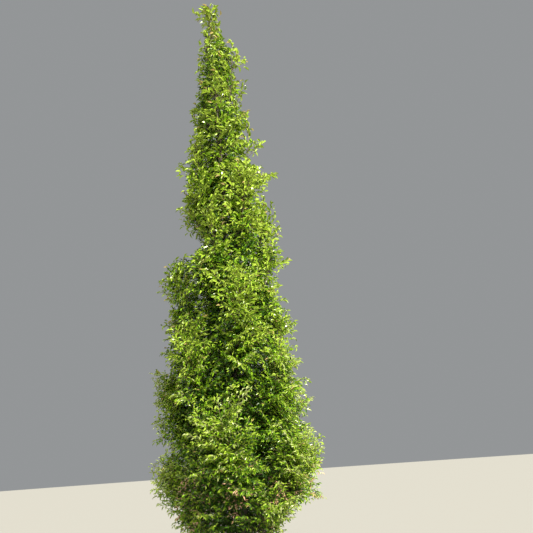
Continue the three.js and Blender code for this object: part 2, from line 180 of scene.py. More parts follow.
# What the rule is carried on to here: more twigs from each stem, and side twigs from those
TWIGS_PER_METRE = 50
TWIGS_FOR_WIDTH = 100  # more for each metre, times the plume's radius
LEADER_TWIGS_PER_METRE = 50
LEADER_FORK = 0.78  # where the leader's shoot forks in two, as a share of it
LEADER_FORK_ANGLE = 19
# How many times the twigs a limb has by the height of its foot: the crown is thickest low down
THICKENING_HEIGHTS = (0.5, 1.3, 2.6)
THICKENING = (1.9, 1.45, 1.05)
BOUGH_STATION = -0.2  # the lowest twig on a bough: it is below the stem's foot
TWIG_SPREAD = (0.8, 1.0)
SPRAY_ROLL = 1.6  # how many times a twig's own roll its spray is rolled
TWIG_LEAST = 0.05
TWIG_RINGS = 5
TWIG_SIDES = 3  # a twig's ends are single triangles
CROSSING = 0.045  # how far neighbouring plumes grow into each other
TWIG_RADIUS = (0.0017, 0.0030)  # of a short and of a long twig
TWIG_TIP_SHARE = 0.4
TWIG_ARCH = 0.07  # how far a twig's middle stands over its ends, as a share of its length
# How far a twig may pass the crown's outline, as a share of it: under 0 it keeps inside
PROUD = (-0.33, 0.02)
PROUD_POWER = 1.5  # above 1, more twigs keep well inside
LEAF_PROUD = 0.04  # what any leaf may pass it by
LEAF_PAST_TWIG = 0.07  # or what a leaf may pass its twig's own limit by
# Bold twigs, such as the ends of the stems, pass the outline by more: by these metres
BOLD_SHARE = 0.15
BOLD_PROUD = (0.02, 0.115)
BOX_SPARE = 0.045  # how far a leaf may stand out of the solids' box
SIDE_FIRST = 0.055
SIDE_STEP = 0.047
SIDE_END = 0.03
SIDE_ANGLE = (58, 40)
SIDE_SHARE = 0.62  # of what is left of the twig beyond
SIDE_MOST = 0.24
SIDE_LEAST = 0.045
SIDE_SPREAD = (0.7, 1.05)
SIDE_ROLL = 15
SIDE_RADIUS = 0.0013
SIDE_RINGS = 3
MARCH = 0.016  # the steps by which a twig feels its way through free space
PLACES_AT_ONCE = 4000  # keeps the tables of distances small

# The leaves
LEAF_LENGTH = 0.07
LEAF_SPREAD = (0.72, 1.18)
END_LEAF_ROOM = LEAF_LENGTH / 3  # what a twig leaves free for the leaf at its end
# Heights, and what leaves and sprays come to at each of them
CHANGE_HEIGHTS = (1.2, 4.6, 5.8, 6.1)
LEAF_SIZES = (0.73, 1.02, 1.04, 1.2)  # how large the leaves are
LEAF_WIDTHS = (0.3, 0.38, 0.38, 0.38)  # how wide each is, as a share of its length
LEAF_STEPS = (0.0178, 0.0285, 0.029, 0.0335)  # how far apart they are on a twig
NARROWING = (0, 0.06, 0.03, 0)  # by how many metres the outline of twigs and leaves is drawn in
SPRAY_FACING = (0.4, 0.6, 0.6, 0.6)  # how far sprays and leaves face outwards rather than up
# How the leaves stand on a twig
LEAF_SHIFT = 0.45  # of their step, either way
LEAF_FIRST_ON_TWIG = 0.35  # as a share of the twig: its foot is bare
LEAF_FIRST_ON_SIDE = 0.016
LEAF_ANGLE = (54, 30)
LEAF_LEVEL = 0.9  # how much of its rise a leaf keeps
LEAF_DROOP = (-0.8, 0.75)
END_LEAF_DROOP = 0.4  # how much of it the leaf at a twig's end has
LEAF_ROLL = 80
LEAF_TURN = 42
TIP_LEAF_SIZE = 0.8  # leaves get smaller to this near a twig's end
TIP_LEAF_POWER = 3
LEAFLESS = 0.15  # the inner part of the crown, as a share of its reach, has twigs alone
# Each row of a leaf blade: (place along it, half width as a share of the whole width)
LEAF_ROWS = ((0.0, 0.0), (0.36, 0.48), (0.68, 0.40), (1.0, 0.0))
INNER_LEAF_ROWS = ((0.0, 0.0), (0.46, 0.5), (1.0, 0.0))
LEAF_PETIOLE = 0.13
MIDRIB = 0.05  # corners nearer than this to a blade's middle line are on its midrib
MERGE_WITHIN = 0.0001
# The ways a leaf is bent: (fold along the midrib, bend of the tip, side curl)
LEAF_FORMS = ((0.38, 0.5, 0.1), (0.48, 0.32, -0.14), (0.3, 0.68, 0.05))
LEAVES_IN_PIECE = 18000

# How light a leaf's tint is, from 0 to 1, which paints shade inside the crown and light towards its
# outline and top: at the trunk and what it gains from there outwards, each at the ground and at the
# tree's full height, at its twig's end, and by chance for a spray and for a leaf
LIGHT_INSIDE = (-0.15, 0.28)
LIGHT_OUTSIDE = (0.82, 1.24)
LIGHT_POWER = 3  # above 1, the gain comes mostly near the outline
LIGHT_AT_TIP = 0.12
LIGHT_TIP_POWER = 4
# painted light: a lift of the leaf tints in a band under the crown's top
LIGHT_UNDER_TOP = 0.16  # what the crown gains between the inner two of these heights
LIGHT_HEIGHTS = (3.4, 4.0, 4.9, 5.5)
LIGHT_OF_SPRAY = 0.07
LIGHT_OF_LEAF = 0.26
LIGHT_MOST = (0.95, 0.82)  # no leaf is lighter than this
# painted light: near the top every leaf gets the light tints of the outline
CROWN_TIP = (5.8, 6.15)  # the heights between which all leaves become outer ones
TINT_STEPS = (0.16, 0.34, 0.54, 0.9)  # where each of the first five tints ends and the next begins
# What share of the leaves at twig ends is bronze, low down and high up, and how near those ends and how
# far out in the crown such leaves are at least
BRONZE_TIPS = (0.03, 0.33)
BRONZE_POWER = 3
BRONZE_TIP_LEAST = 0.9
BRONZE_OUT_LEAST = 0.7
# What share of the sprays below a height is dry, and of the leaves in them
DRY_SPRAYS = 0.12
DRY_LEAVES = 0.4
DRY_HEIGHT = 1.45

# The leaf tints: each one's linear colour and roughness. Most of them are painted shade or painted light
# on the leaves
TINTS = {
    # painted shade: the darkest tint, for leaves deep inside the crown
    "shade": ((0.025, 0.083, 0.003), 0.42),
    # mostly painted shade: the next darker tint, for leaves inside the crown
    "deep": ((0.084, 0.205, 0.006), 0.34),
    "mid": ((0.211, 0.375, 0.012), 0.29),
    # painted light: the tint of leaves lit by the sun towards the crown's outline
    "sunlit": ((0.322, 0.446, 0.045), 0.27),
    # painted highlight: the lightest tint, with a pale painted sheen in its colour
    "highlight": ((0.42, 0.49, 0.18), 0.27),
    "bronze": ((0.4, 0.32, 0.11), 0.4),
    "dry": ((0.60, 0.40, 0.25), 0.6),
}
INNER_TINTS = ("shade", "deep")  # their leaves have simpler blades
LEAF_GLOSS = 0.4


# The rule: trunk, crown, limbs
def random_from(seed):
    """Numbers from 0 to 1 without end, always the same ones for the same seed."""
    state = seed & WORD
    while True:
        state = (state + WORD_STEP) & WORD
        mixed = ((state ^ (state >> 15)) * (state | 1)) & WORD
        mixed = ((mixed + (mixed ^ (mixed >> 7)) * (mixed | 61)) & WORD) ^ mixed
        yield (mixed ^ (mixed >> 14)) / (WORD + 1)


def between(low, high, share):
    return low + (high - low) * share


def either_way(draw):
    return next(draw) * 2 - 1


def unit(vectors):
    return vectors / np.linalg.norm(vectors, axis=-1, keepdims=True)


def dot(a, b):
    return np.sum(a * b, axis=-1, keepdims=True)


def flare_at(height):
    return FLARE * np.exp(-height / FLARE_HEIGHT)


def trunk_radius(height):
    taper = np.maximum(0, 1 - height / TRUNK_TOP) ** TRUNK_TAPER
    return between(LEADER_RADIUS, TRUNK_RADIUS, taper) + flare_at(height)


def trunk_point(height):
    height = np.asarray(height, float)
    side = BEND_SIDE * np.sin(2 * np.pi * height / BEND_LENGTH)
    depth = BEND_DEPTH * (np.cos(2 * np.pi * height / BEND_DEPTH_LENGTH) - 1)
    return np.stack([side, depth, height], -1)


def outward_of(places):
    out = places - trunk_point(places[..., 2])
    length = np.linalg.norm(out, axis=-1, keepdims=True)
    return np.where(length > TINY, out / np.maximum(length, TINY), SIDEWAYS)


def from_trunk(places):
    """How far out from the trunk each place lies, and its azimuth."""
    offset = places - trunk_point(places[:, 2])
    outward = np.hypot(offset[:, 0], offset[:, 1])
    return outward, np.degrees(np.arctan2(offset[:, 1], offset[:, 0]))


def at_height(places, values):
    """What a thing that changes with height comes to at each place."""
    return np.interp(places[:, 2], CHANGE_HEIGHTS, values)


def crown_reach(height, azimuth):
    """How far the crown's outline stands from the trunk at a height and on one side."""
    heights, reaches = np.transpose(CROWN_OUTLINE)
    reach = np.interp(height, heights, reaches, left=0, right=0)
    for middle, half_height, direction, half_width, depth in HOLLOWS:
        up = (height - middle) / half_height
        turn = (azimuth - direction) % 360
        aside = np.minimum(turn, 360 - turn) / half_width
        reach = reach * (1 - depth * np.exp(-(up**2) - aside**2))
    return reach


@dataclass
class Limb:
    foot: float
    rise: float
    azimuth: float
    twist: float
    reach: float
    root: float
    start: float
    radius: float
    draw: object
    leader: bool = False


def outward_share(share):
    return 1 - (1 - share) ** LIMB_OUTWARD


def limb_at(index):
    draw = random_from(SEED + index * SEED_STEP)
    foot = between(LOWEST_LIMB, HIGHEST_LIMB, (index / (LIMB_COUNT - 1)) ** LIMB_CROWDING)
    azimuth = SPIRAL_START + index * SPIRAL_STEP + SPIRAL_JITTER * either_way(draw)
    twist = LIMB_TWIST * either_way(draw)
    wanted = LIMB_RISE_LOWEST + LIMB_RISE_GAIN * (foot - LOWEST_LIMB)
    highest = min(LIMB_RISE_MOST, (TREE_HEIGHT - foot) * LIMB_RISE_SHARE)
    rise = min(wanted, highest) * between(*LIMB_RISE_SPREAD, next(draw))
    way = np.array(LIMB_WAY)
    room = crown_reach(foot + rise * way, azimuth + twist * way) / outward_share(way)
    reach = LIMB_REACH_SHARE * float(room.min())
    root = trunk_radius(foot) * ROOT_DEPTH / reach / LIMB_OUTWARD
    start = BOUGH_SHARE if index < BOUGH_COUNT else root
    radius = max(LIMB_RADIUS_LEAST, LIMB_RADIUS_SHARE * trunk_radius(foot))
    return Limb(foot, rise, azimuth, twist, reach, root, start, radius, draw)


def leader_shoot():
    rise = TREE_HEIGHT - LEADER_TIP_REACH - TRUNK_TOP
    draw = random_from(SEED + LIMB_COUNT * SEED_STEP)
    return Limb(TRUNK_TOP, rise, 0, 0, 0, 0, 0, LEADER_RADIUS, draw, leader=True)


def limb_point(limb, share):
    share = np.clip(share, 0, 1)
    azimuth = np.radians(limb.azimuth + limb.twist * share)
    outward = limb.reach * outward_share(share)
    side = np.stack([np.cos(azimuth) * outward, np.sin(azimuth) * outward, 0 * share], -1)
    return trunk_point(limb.foot + limb.rise * share) + side


def limb_tangent(limb, share):
    return unit(limb_point(limb, share + TANGENT_STEP) - limb_point(limb, share - TANGENT_STEP))


def stem_point(limb, share):
    return limb_point(limb, between(limb.start, 1, np.asarray(share, float)))


def stem_tangent(limb, share):
    return unit(stem_point(limb, share + TANGENT_STEP) - stem_point(limb, share - TANGENT_STEP))


def limb_radius(limb, share):
    """How thick a limb is along its way: a collar, a tapering bough and its stem."""
    on_bough = np.clip((share - limb.root) / max(limb.start - limb.root, TINY), 0, 1)
    on_stem = np.clip((share - limb.start) / (1 - limb.start), 0, 1)
    tapered = between(limb.radius, STEM_TIP_RADIUS, on_stem**STEM_TAPER)
    bough = (1 - on_bough) * BOUGH_TAPER if limb.start > limb.root else 0
    collar = COLLAR * np.exp(-COLLAR_FALL * (share - limb.root) / BOUGH_SHARE)
    return tapered + limb.radius * (bough + collar)


# The plumes: each limb's stem with the space round it
@dataclass
class Plume:
    limb: Limb
    axis: np.ndarray
    length: float
    radius: float
    outward: np.ndarray
    phase: float


def plume_of(limb):
    axis = stem_point(limb, np.linspace(0, 1, AXIS_STEPS + 1))
    middle = stem_point(limb, 0.5)
    reach = np.interp(middle[2], *np.transpose(CROWN_OUTLINE))
    outward = SIDEWAYS if limb.leader else outward_of(axis[-1])
    phase = next(limb.draw)
    # The solids draw twice more here, for the waves in the plume's core
    next(limb.draw)
    next(limb.draw)
    radius = PLUME_RADIUS_LEAST + PLUME_RADIUS_SHARE * reach
    return Plume(limb, axis, np.linalg.norm(axis[-1] - axis[0]), radius, outward, phase)


plumes = [plume_of(limb_at(index)) for index in range(LIMB_COUNT)]
plumes.append(plume_of(leader_shoot()))
stem_axes = np.stack([plume.axis for plume in plumes])
boughs = [plume.limb for plume in plumes[:BOUGH_COUNT]]
bough_shares = [np.linspace(0, bough.start, BOUGH_AXIS_STEPS + 1) for bough in boughs]
bough_axes = np.stack([limb_point(bough, shares) for bough, shares in zip(boughs, bough_shares)])
bough_clearances = np.array([bough.radius * (1 + COLLAR) + WOOD_CLEARANCE for bough in boughs])
plume_radii = np.array([plume.radius for plume in plumes])


def distances(places, lines):
    """The distance from each place to each line, which is given as points."""
    starts = lines[:, :-1]
    runs = lines[:, 1:] - starts
    offsets = places[:, None, None] - starts
    shares = np.clip(dot(offsets, runs) / dot(runs, runs), 0, 1)
    return np.linalg.norm(offsets - shares * runs, axis=-1).min(-1)


def in_box(places):
    low, high = (np.array(corner) for corner in cad_box)
    return np.all((places > low - BOX_SPARE) & (places < high + BOX_SPARE), axis=1)


def inside_crown(places, proud):
    outward, azimuth = from_trunk(places)
    over_trunk = places[:, 2] > TRUNK_TOP + WOOD_CLEARANCE
    clear = over_trunk | (outward > trunk_radius(places[:, 2]) + WOOD_CLEARANCE)
    reach = crown_reach(places[:, 2], azimuth) * (1 + proud) - at_height(places, NARROWING)
    return clear & (outward <= reach)


def reach_at(places):
    """The crown's reach at the height of each place and on its side of the trunk."""
    azimuth = from_trunk(places)[1]
    return np.maximum(crown_reach(places[:, 2], azimuth), PLUME_RADIUS_LEAST)


def share_of_reach(places):
    """How far out a place lies, from 0 at the trunk to 1 at the crown's outline."""
    outward = from_trunk(places)[0]
    return outward / reach_at(places)


def in_space(owners, places, proud):
    """Whether each place is in its owner's space: nearer to that plume's wood than to any other's."""
    free = inside_crown(places, proud) & in_box(places)
    tested = np.flatnonzero(free)
    for part in np.array_split(tested, max(1, len(tested) // PLACES_AT_ONCE)):
        to_stems = distances(places[part], stem_axes)
        rows = np.arange(len(part))
        own = to_stems[rows, owners[part]]
        to_stems[rows, owners[part]] = np.inf
        to_boughs = distances(places[part], bough_axes)
        borne = np.flatnonzero(owners[part] < BOUGH_COUNT)
        bearers = owners[part][borne]
        own[borne] = np.minimum(own[borne], to_boughs[borne, bearers])
        to_boughs[borne, bearers] = np.inf
        apart = to_stems.min(1) >= own - CROSSING
        off_boughs = np.all(to_boughs >= bough_clearances, axis=1)
        reach = plume_radii[owners[part]] * (1 + proud[part])
        free[part] = apart & off_boughs & (own <= reach)
    return free


def free_run(owners, starts, directions, most, proud):
    """How far each space runs free from a start in one direction."""
    run = np.zeros(len(starts))
    going = np.ones(len(starts), bool)
    while going.any():
        index = np.flatnonzero(going)
        ahead = run[index] + MARCH
        places = starts[index] + directions[index] * ahead[:, None]
        free = in_space(owners[index], places, proud[index]) & (ahead <= most[index])
        run[index[free]] = ahead[free]
        going[index[~free]] = False
    return run


# Twigs and leaves are kept in tables, whose columns are arrays
class Table:
    def pick(self, chosen):
        return type(self)(*(column[chosen] for column in vars(self).values()))


def joined(tables):
    columns = zip(*(vars(table).values() for table in tables))
    return type(tables[0])(*(np.concatenate(column) for column in columns))


# The twigs: a row of the table is one twig
@dataclass
class Twigs(Table):
    owner: np.ndarray
    spray: np.ndarray
    root: np.ndarray
    aim: np.ndarray
    face: np.ndarray
    length: np.ndarray
    radius: np.ndarray
    proud: np.ndarray


def twig_point(twigs, share):
    share = np.broadcast_to(share, twigs.length.shape)[:, None]
    length = twigs.length[:, None]
    arch = twigs.face * length * TWIG_ARCH * 4 * share * (1 - share)
    return twigs.root + twigs.aim * length * share + arch


def twig_tangent(twigs, share):
    share = np.broadcast_to(share, twigs.length.shape)[:, None]
    return unit(twigs.aim + twigs.face * TWIG_ARCH * 4 * (1 - 2 * share))


def turned_about(vectors, axes, angles):
    """Turns each vector, which stands square to its axis, about that axis."""
    angles = np.broadcast_to(angles, len(vectors))[:, None]
    return vectors * np.cos(angles) + np.cross(axes, vectors) * np.sin(angles)


def facing(places, aims, rolls):
    """The normal of a spray or leaf: up and outwards, square to its aim, and rolled a little."""
    outwards = at_height(places, SPRAY_FACING)[:, None]
    hint = outward_of(places) * outwards + UP
    normal = unit(hint - dot(hint, aims) * aims)
    return turned_about(normal, aims, rolls)


def main_twig_rows(owner, plume):
    """Each twig's owner, root, aim, roll, share of its free way and whether it ends the stem."""
    limb = plume.limb
    lowest = BOUGH_STATION if limb.start == BOUGH_SHARE else TWIG_STATIONS[0]
    highest = TWIG_STATIONS[1]
    density = LEADER_TWIGS_PER_METRE if limb.leader else TWIGS_PER_METRE + TWIGS_FOR_WIDTH * plume.radius
    density *= np.interp(limb.foot, THICKENING_HEIGHTS, THICKENING)
    for index in range(round(plume.length * (highest - lowest) * density)):
        share = between(lowest, highest, (TWIG_STATION_START + index * TWIG_STATION_STEP) % 1)
        sector = LEADER_SECTOR if limb.leader else TWIG_SECTOR
        about = math.radians(((plume.phase + index * TWIG_SIDE_STEP) % 1 * 2 - 1) * sector)
        angles = LEADER_TWIG_ANGLE if limb.leader else TWIG_ANGLE
        angle = math.radians(between(*angles, max(0, share)) + TWIG_JITTER * either_way(limb.draw))
        roll = math.radians(TWIG_ROLL * either_way(limb.draw))
        spread = between(*TWIG_SPREAD, next(limb.draw))
        tangent = stem_tangent(limb, share)
        out = unit(plume.outward - dot(plume.outward, tangent) * tangent)
        side = np.cross(tangent, out)
        away = out * math.cos(about) + side * math.sin(about)
        aim = tangent * math.cos(angle) + away * math.sin(angle)
        yield owner, stem_point(limb, share), unit(aim + UP * TWIG_BENT_UP), roll, spread, False
    if limb.leader:
        lean = math.radians(LEADER_FORK_ANGLE)
        for hand in (-1, 1):
            aim = np.array([hand * math.sin(lean), 0, math.cos(lean)])
            yield owner, stem_point(limb, LEADER_FORK), aim, 0, 1, True
    else:
        yield owner, stem_point(limb, 1), stem_tangent(limb, 1), 0, 1, True


def grow_main_twigs(chance):
    rows = [row for owner, plume in enumerate(plumes) for row in main_twig_rows(owner, plume)]
    owner, root, aim, roll, spread, at_end = (np.array(column) for column in zip(*rows))
    proud = between(*PROUD, chance.random(len(rows)) ** PROUD_POWER)
    bold = at_end | (chance.random(len(rows)) < BOLD_SHARE)
    boldness = chance.uniform(*BOLD_PROUD, len(rows)) / reach_at(root)
    proud = np.where(bold, boldness, proud)
    free = free_run(owner, root + aim * MARCH, aim, np.full(len(rows), TWIG_REACH), proud)
    length = free * spread - END_LEAF_ROOM
    face = facing(root, aim, roll * SPRAY_ROLL)
    radius = between(*TWIG_RADIUS, np.clip(length / TWIG_REACH, 0, 1))
    grown = Twigs(owner, np.arange(len(rows)), root, aim, face, length, radius, proud)
    return grown.pick(length > TWIG_LEAST)


def grow_side_twigs(mains, chance):
    parts = []
    station = SIDE_FIRST
    hand = 1
    while (mains.length > station + SIDE_END).any():
        carriers = mains.pick(mains.length > station + SIDE_END)
        share = station / carriers.length
        tangent = twig_tangent(carriers, share)
        side = np.cross(tangent, carriers.face) * hand
        angle = np.radians(between(*SIDE_ANGLE, share))[:, None]
        aim = unit(tangent * np.cos(angle) + side * np.sin(angle))
        root = twig_point(carriers, share)
        left = carriers.length * (1 - share)
        longest = np.minimum(SIDE_MOST, SIDE_LEAST + SIDE_SHARE * left)
        wanted = longest * chance.uniform(*SIDE_SPREAD, len(left))
        free = free_run(carriers.owner, root + aim * MARCH, aim, wanted, carriers.proud)
        length = np.minimum(wanted, free)
        roll = np.radians(chance.uniform(-SIDE_ROLL, SIDE_ROLL, len(left)))
        face = turned_about(unit(carriers.face - dot(carriers.face, aim) * aim), aim, roll)
        radius = np.minimum(SIDE_RADIUS, carriers.radius)
        grown = Twigs(carriers.owner, carriers.spray, root, aim, face, length, radius, carriers.proud)
        parts.append(grown.pick(length > SIDE_LEAST))
        station += SIDE_STEP
        hand = -hand
    return joined(parts)


# The leaves: a row of the table is one leaf
@dataclass
class Leaves(Table):
    root: np.ndarray
    aim: np.ndarray
    face: np.ndarray
    length: np.ndarray
    spray: np.ndarray
    proud: np.ndarray
    tip: np.ndarray  # how near it is to the end of its twig, from 0 to 1


def leaves_at(twigs, share, hand, chance):
    """One leaf on each twig, to one side of it or, with a hand of 0, at its end."""
    count = len(twigs.length)
    tangent = twig_tangent(twigs, share)
    side = np.cross(tangent, twigs.face) * hand
    turn = chance.uniform(-LEAF_TURN, LEAF_TURN, count)
    angle = np.radians(between(*LEAF_ANGLE, share) + turn)[:, None]
    aim = tangent * np.cos(angle) + side * np.sin(angle) if hand else tangent
    droop = chance.uniform(*LEAF_DROOP, count)[:, None] * (1 if hand else END_LEAF_DROOP)
    aim = unit(aim * (1, 1, LEAF_LEVEL) - UP * droop)
    root = twig_point(twigs, share)
    roll = np.radians(chance.uniform(-LEAF_ROLL, LEAF_ROLL, count))
    face = facing(root, aim, roll)
    length = LEAF_LENGTH * at_height(root, LEAF_SIZES) * chance.uniform(*LEAF_SPREAD, count)
    length = length * between(1, TIP_LEAF_SIZE, share**TIP_LEAF_POWER)
    return Leaves(root, aim, face, length, twigs.spray, twigs.proud, share * np.ones(count))


def grow_leaves(twigs, first, chance):
    parts = [leaves_at(twigs, np.ones(len(twigs.length)), 0, chance)]
    station = first * np.ones(len(twigs.length))
    step = at_height(twigs.root, LEAF_STEPS)
    hand = 1
    while (twigs.length > station).any():
        carrying = twigs.length > station
        carriers = twigs.pick(carrying)
        shift = step[carrying] * chance.uniform(-LEAF_SHIFT, LEAF_SHIFT, len(carriers.length))
        share = np.clip((station[carrying] + shift) / carriers.length, 0, 1)
        parts.append(leaves_at(carriers, share, hand, chance))
        station = station + step
        hand = -hand
    return parts


def all_leaves(mains, sides, chance):
    parts = grow_leaves(mains, LEAF_FIRST_ON_TWIG * mains.length, chance)
    parts += grow_leaves(sides, LEAF_FIRST_ON_SIDE, chance)
    leaves = joined(parts)
    tips = leaves.root + leaves.aim * leaves.length[:, None]
    middles = (leaves.root + tips) / 2
    outside = share_of_reach(leaves.root) > LEAFLESS
    proud = np.maximum(LEAF_PROUD, leaves.proud + LEAF_PAST_TWIG)
    return leaves.pick(outside & in_box(tips) & inside_crown(tips, proud) & inside_crown(middles, proud))


# Meshes
def piece_of(mesh, name, material, slot, *nodes):
    piece = bpy.data.objects.new(name, mesh)
    bpy.context.scene.collection.objects.link(piece)
    mesh.materials.append(material)
    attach(piece, "root")
    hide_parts(*nodes)


def mesh_from_arrays(name, points, triangles):
    mesh = bpy.data.meshes.new(name)
    mesh.vertices.add(len(points))
    mesh.vertices.foreach_set("co", points.astype(np.float32).ravel())
    mesh.loops.add(triangles.size)
    mesh.loops.foreach_set("vertex_index", triangles.astype(np.int32).ravel())
    mesh.polygons.add(len(triangles))
    mesh.polygons.foreach_set("loop_start", np.arange(0, triangles.size, 3, dtype=np.int32))
    mesh.update(calc_edges=True)
    mesh.shade_smooth()
    return mesh


def leaf_template(rows, fold, bend, curl):
    """One blade along Y, facing Z: its corners, its triangles and which corners are on the midrib."""
    sheet = bmesh.new()
    bmesh.ops.create_grid(sheet, x_segments=2, y_segments=len(rows) - 1, size=1)
    for vertex in sheet.verts:
        row = round((vertex.co.y + 1) / 2 * (len(rows) - 1))
        along, half_width = rows[row]
        across = vertex.co.x * half_width
        past = max(0, along - LEAF_PETIOLE)
        height = abs(across) * fold - bend * past**2
        vertex.co = (across + curl * past**2, along - bend * bend * past**3 / 2, height)
    bmesh.ops.remove_doubles(sheet, verts=sheet.verts, dist=MERGE_WITHIN)
    bmesh.ops.triangulate(sheet, faces=sheet.faces)
    sheet.verts.index_update()
    points = np.array([vertex.co[:] for vertex in sheet.verts])
    triangles = np.array([[corner.vert.index for corner in face.loops] for face in sheet.faces])
    if sum(face.normal.z for face in sheet.faces) < 0:
        triangles = triangles[:, ::-1]
    sheet.free()
    curled = curl * np.maximum(0, points[:, 1] - LEAF_PETIOLE) ** 2
    return points, triangles, np.abs(points[:, 0] - curled) < MIDRIB


def leaf_mesh(name, leaves, forms, form_of):
    """Many leaves in one mesh, each in one of the forms and creased along its midrib."""
    points = np.stack([form[0] for form in forms])[form_of]
    triangles, midrib = forms[0][1:]
    corners = points.shape[1]
    across = np.cross(leaves.aim, leaves.face) * at_height(leaves.root, LEAF_WIDTHS)[:, None]
    axes = np.stack([across, leaves.aim, leaves.face], 1) * leaves.length[:, None, None]
    placed = leaves.root[:, None] + points @ axes
    faces = triangles + corners * np.arange(len(points))[:, None, None]
    mesh = mesh_from_arrays(name, placed.reshape(-1, 3), faces.reshape(-1, 3))
    ends = np.zeros(len(mesh.edges) * 2, np.int32)
    mesh.edges.foreach_get("vertices", ends)
    creased = midrib[ends.reshape(-1, 2) % corners].all(axis=1)
    mesh.edges.foreach_set("use_edge_sharp", creased)
    return mesh


def twig_mesh(name, twigs, rings):
    """Many twigs in one mesh, closed at both ends."""
    shares = np.linspace(0, 1, rings)
    path = np.stack([twig_point(twigs, share) for share in shares], 1)
    tangent = np.stack([twig_tangent(twigs, share) for share in shares], 1)
    side = unit(np.cross(tangent, twigs.face[:, None]))
    lift = np.cross(side, tangent)
    radius = twigs.radius[:, None] * between(1, TWIG_TIP_SHARE, shares)
    angles = 2 * np.pi * np.arange(TWIG_SIDES) / TWIG_SIDES
    spokes = side[:, :, None] * np.cos(angles)[:, None] + lift[:, :, None] * np.sin(angles)[:, None]
    points = path[:, :, None] + spokes * radius[:, :, None, None]
    foot = tuple(reversed(range(TWIG_SIDES)))
    tip = tuple(TWIG_SIDES * (rings - 1) + corner for corner in range(TWIG_SIDES))
    faces = [foot, tip]
    for ring in range(rings - 1):
        for corner in range(TWIG_SIDES):
            low = TWIG_SIDES * ring + corner
            low_next = TWIG_SIDES * ring + (corner + 1) % TWIG_SIDES
            high = low + TWIG_SIDES
            high_next = low_next + TWIG_SIDES
            faces += [(low, low_next, high_next), (low, high_next, high)]
    faces = np.array(faces) + TWIG_SIDES * rings * np.arange(len(points))[:, None, None]
    return mesh_from_arrays(name, points.reshape(-1, 3), faces.reshape(-1, 3))


# Wood with the bark's relief
TRUNK_SIDES = 48
TRUNK_RINGS = 220
RING_CROWDING = 1.25
LIMB_SIDES = 10
LIMB_RINGS = 30
FLUTES = 7
FLUTE_DEPTH = 0.05  # of the trunk's radius
FLUTE_TWIST = 1.1  # radians for each metre of height
SINEW_DEPTH = 0.0016
SINEW_AT_TOP = 0.35  # what is left of it at the trunk's tip
SINEW_SCALE = (26, 26, 3.2)
GRAIN_DEPTH = 0.0005
GRAIN_SCALE = (120, 120, 22)
SHOULDER = 0.34  # how far the trunk swells round a limb, as a share of the limb's radius
SHOULDER_WIDTH = 2.2
SHOULDER_RANGE = 8  # it is nothing further off than so many times the limb's radius
LIMB_RELIEF = 0.1  # of a limb's radius


def bark_noise(place, scale):
    return noise.noise(Vector(place) * Vector(scale))


def closed_tube(sides, rings, moved_to):
    """An upright cylinder cut into rings, with each corner moved to where its share and angle say."""
    shape = bmesh.new()
    bmesh.ops.create_cone(shape, cap_ends=True, segments=sides, radius1=1, radius2=1, depth=1)
    upright = [edge for edge in shape.edges if abs(edge.verts[0].co.z - edge.verts[1].co.z) > 0.5]
    bmesh.ops.subdivide_edges(shape, edges=upright, cuts=rings - 1, use_grid_fill=True)
    for vertex in shape.verts:
        vertex.co = moved_to(vertex.co.z + 0.5, math.atan2(vertex.co.y, vertex.co.x))
    bmesh.ops.recalc_face_normals(shape, faces=shape.faces)
    return shape


def trunk_surface(share, angle):
    height = TRUNK_TOP * share**RING_CROWDING
    radius = float(trunk_radius(height))
    ridge = FLARE_RIDGE_DEPTH * float(flare_at(height)) * math.cos(FLARE_RIDGES * (angle + math.pi / 2))
    fade = 1 - share
    flute = FLUTE_DEPTH * radius * fade * math.sin(FLUTES * angle + FLUTE_TWIST * height)
    out = np.array([math.cos(angle), math.sin(angle), 0])
    place = trunk_point(height) + out * radius
    sinew = SINEW_DEPTH * between(SINEW_AT_TOP, 1, fade) * bark_noise(place, SINEW_SCALE)
    grain = GRAIN_DEPTH * bark_noise(place, GRAIN_SCALE)
    swell = 0
    for plume in plumes[:LIMB_COUNT]:
        limb = plume.limb
        if abs(limb.foot - height) < SHOULDER_RANGE * limb.radius:
            exit_share = limb.root / ROOT_DEPTH
            apart = np.linalg.norm(limb_point(limb, exit_share) - place) / (limb.radius * SHOULDER_WIDTH)
            swell += SHOULDER * limb.radius * math.exp(-(apart**2))
    return trunk_point(height) + out * (radius + ridge + flute + sinew + grain + swell)


def limb_surface(limb):
    def moved_to(share, angle):
        along = between(limb.root, 1, share)
        centre = limb_point(limb, along)
        tangent = limb_tangent(limb, along)
        hint = SIDEWAYS if limb.leader else outward_of(limb_point(limb, 1))
        out = unit(hint - dot(hint, tangent) * tangent)
        side = np.cross(tangent, out)
        radius = float(limb_radius(limb, along))
        spoke = out * math.cos(angle) + side * math.sin(angle)
        place = centre + spoke * radius
        return place + spoke * radius * LIMB_RELIEF * bark_noise(place, SINEW_SCALE)

    return moved_to


def wood_mesh(name, tubes):
    """Tubes, each given as sides, rings and surface, in one mesh."""
    whole = bmesh.new()
    mesh = bpy.data.meshes.new(name)
    for sides, rings, surface in tubes:
        shape = closed_tube(sides, rings, surface)
        shape.to_mesh(mesh)
        shape.free()
        whole.from_mesh(mesh)
    whole.to_mesh(mesh)
    whole.free()
    mesh.shade_smooth()
    return mesh


# The bark: how far each of its patterns is stretched, how fine it is and how much it darkens
STREAK_STRETCH = (1, 1, 0.09)
STREAK_NOISE = {"Detail": 6, "Roughness": 0.62}
STREAK_SHADE = {"From Min": 0.34, "From Max": 0.68}
BLOTCH_NOISE = {"Scale": 7, "Detail": 3}
BLOTCH_SHADE = {"From Min": 0.4, "From Max": 0.7, "To Max": 0.55}
MARK_STRETCH = (1, 1, 5)
MARK_CELLS = {"Scale": 34}
MARK_SHADE = {"From Min": 0.1, "From Max": 0.24, "To Min": 0.7, "To Max": 0}
BARK_ROUGHNESS = {"To Min": 0.66, "To Max": 0.9}
BARK_BUMP = 0.7
